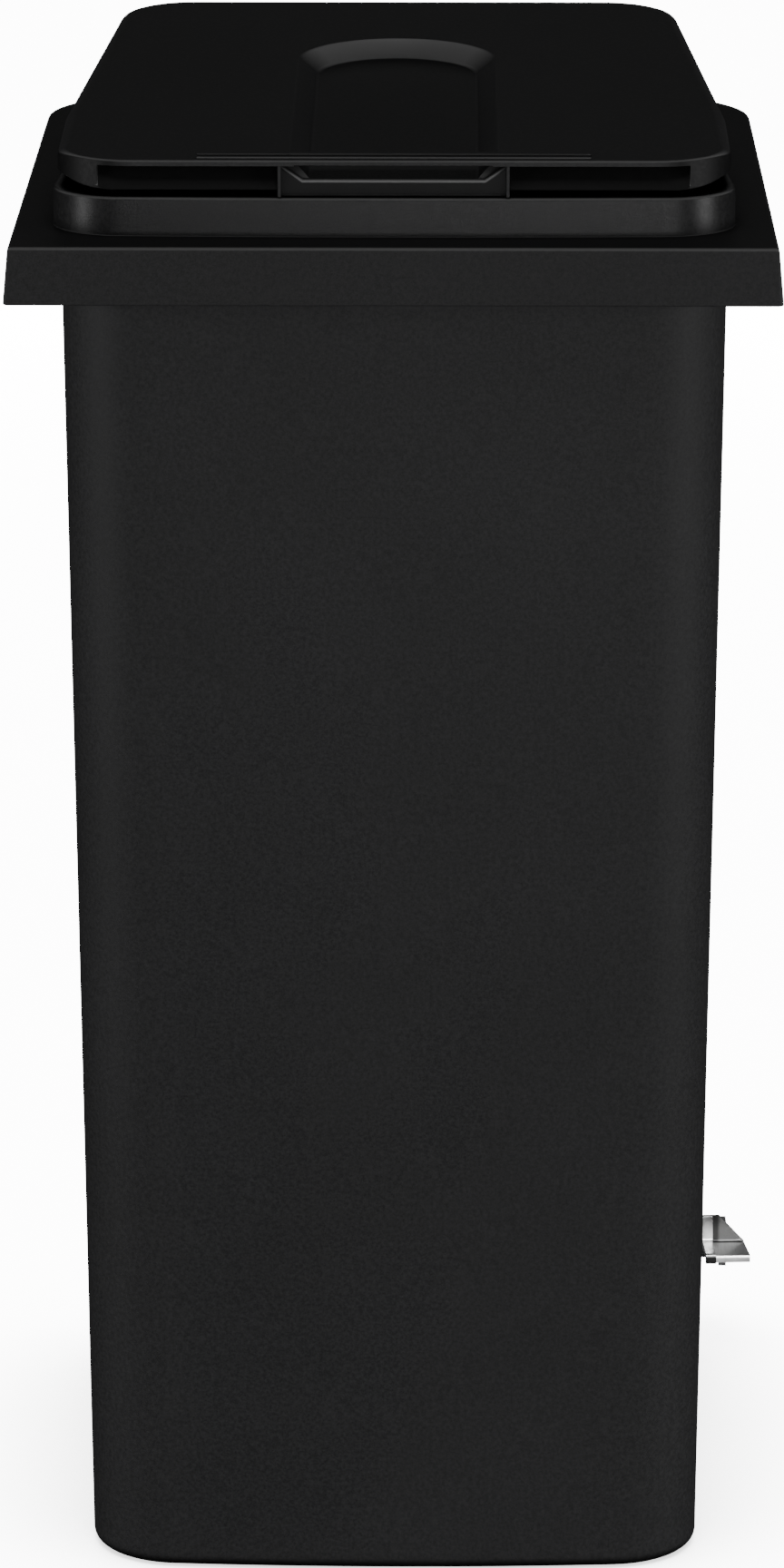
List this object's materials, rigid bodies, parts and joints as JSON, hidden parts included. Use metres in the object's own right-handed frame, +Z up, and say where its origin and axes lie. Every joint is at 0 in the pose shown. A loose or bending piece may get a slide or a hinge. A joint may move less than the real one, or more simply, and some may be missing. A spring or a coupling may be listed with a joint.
{
  "type": "pedal trash can",
  "caption": "Tall two-wheeled waste container with a lifting collar, a hinged lid with a hand scoop, and a steel foot pedal at the back that opens the lid through a rod.",
  "frame": {"origin": "on the floor, on the container's middle plane, half way between the front of the collar and the back of the handle", "axes": "+Z up, -Y towards the front that the user faces, +Y towards the handle and wheels, +X towards the pedal's side"},
  "size_m": [0.4907, 0.55, 0.9616],
  "materials": {
    "container_plastic": "moulded, fine grain",
    "lid_plastic": "moulded, fine grain",
    "hub_plastic": "moulded, satin",
    "tyre": "moulded rubber",
    "buffer_rubber": "moulded rubber",
    "nylon": "turned nylon",
    "zinc_steel": "bright zinc plated sheet",
    "axle_steel": "drawn steel bar",
    "screw_steel": "zinc plated screws"
  },
  "bodies": {
    "container": {"container_body_lower": "container_plastic", "container_body_upper": "container_plastic", "container_rim": "container_plastic", "handle_bar": "container_plastic", "comb_rib_1": "container_plastic", "comb_rib_2": "container_plastic", "comb_rib_3": "container_plastic", "comb_rib_4": "container_plastic", "comb_rib_5": "container_plastic", "comb_rib_6": "container_plastic", "comb_rib_7": "container_plastic", "comb_rib_8": "container_plastic", "axle": "axle_steel", "axle_cap_left": "hub_plastic", "axle_cap_right": "hub_plastic", "hinge_pin_left": "lid_plastic", "hinge_pin_right": "lid_plastic", "lid_buffer_left": "buffer_rubber", "lid_buffer_right": "buffer_rubber", "axle_spacer_left": "nylon", "axle_spacer_inner": "nylon", "axle_spacer_outer": "nylon", "rod_guide": "hub_plastic", "guide_screw_1": "screw_steel", "guide_screw_2": "screw_steel"},
    "lid": {"lid": "lid_plastic", "lid_crank": "zinc_steel", "crank_screw_1": "screw_steel", "crank_screw_2": "screw_steel"},
    "rod": {"pull_rod": "zinc_steel", "rod_cap_upper": "hub_plastic", "rod_cap_lower": "hub_plastic"},
    "pedal": {"pedal_arm_inner": "zinc_steel", "pedal_arm_outer": "zinc_steel", "pedal_bush_inner": "nylon", "pedal_bush_outer": "nylon", "pedal_cross_tube": "zinc_steel", "pedal_end_plate": "zinc_steel", "pedal_tread": "zinc_steel", "pedal_doubler": "zinc_steel"},
    "wheel_left": {"wheel_hub_left": "hub_plastic", "tyre_left": "tyre"},
    "wheel_right": {"wheel_hub_right": "hub_plastic", "tyre_right": "tyre"}
  },
  "joints": [
    {"name": "lid_hinge", "type": "hinge", "parent": "container", "child": "lid", "pos_m": [0, 0.205, 0.922], "axis": [-1, 0, 0], "range_deg": [0, 75]},
    {"name": "rod_pivot", "type": "hinge", "parent": "lid", "child": "rod", "pos_m": [0.14, 0.22126, 0.93448], "axis": [-1, 0, 0], "range_deg": [-75, 0]},
    {"name": "pedal_pivot", "type": "hinge", "parent": "container", "child": "pedal", "pos_m": [0.13, 0.14, 0.1], "axis": [-1, 0, 0], "range_deg": [0, 17.45]},
    {"name": "wheel_left_spin", "type": "hinge", "parent": "container", "child": "wheel_left", "pos_m": [-0.178, 0.14, 0.1], "axis": [1, 0, 0], "continuous": true},
    {"name": "wheel_right_spin", "type": "hinge", "parent": "container", "child": "wheel_right", "pos_m": [0.178, 0.14, 0.1], "axis": [1, 0, 0], "continuous": true}
  ],
  "couplings": [
    {"joint": "rod_pivot", "follows": "lid_hinge", "ratio": -1},
    {"joint": "pedal_pivot", "follows": "lid_hinge", "ratio": 0.2326}
  ]
}
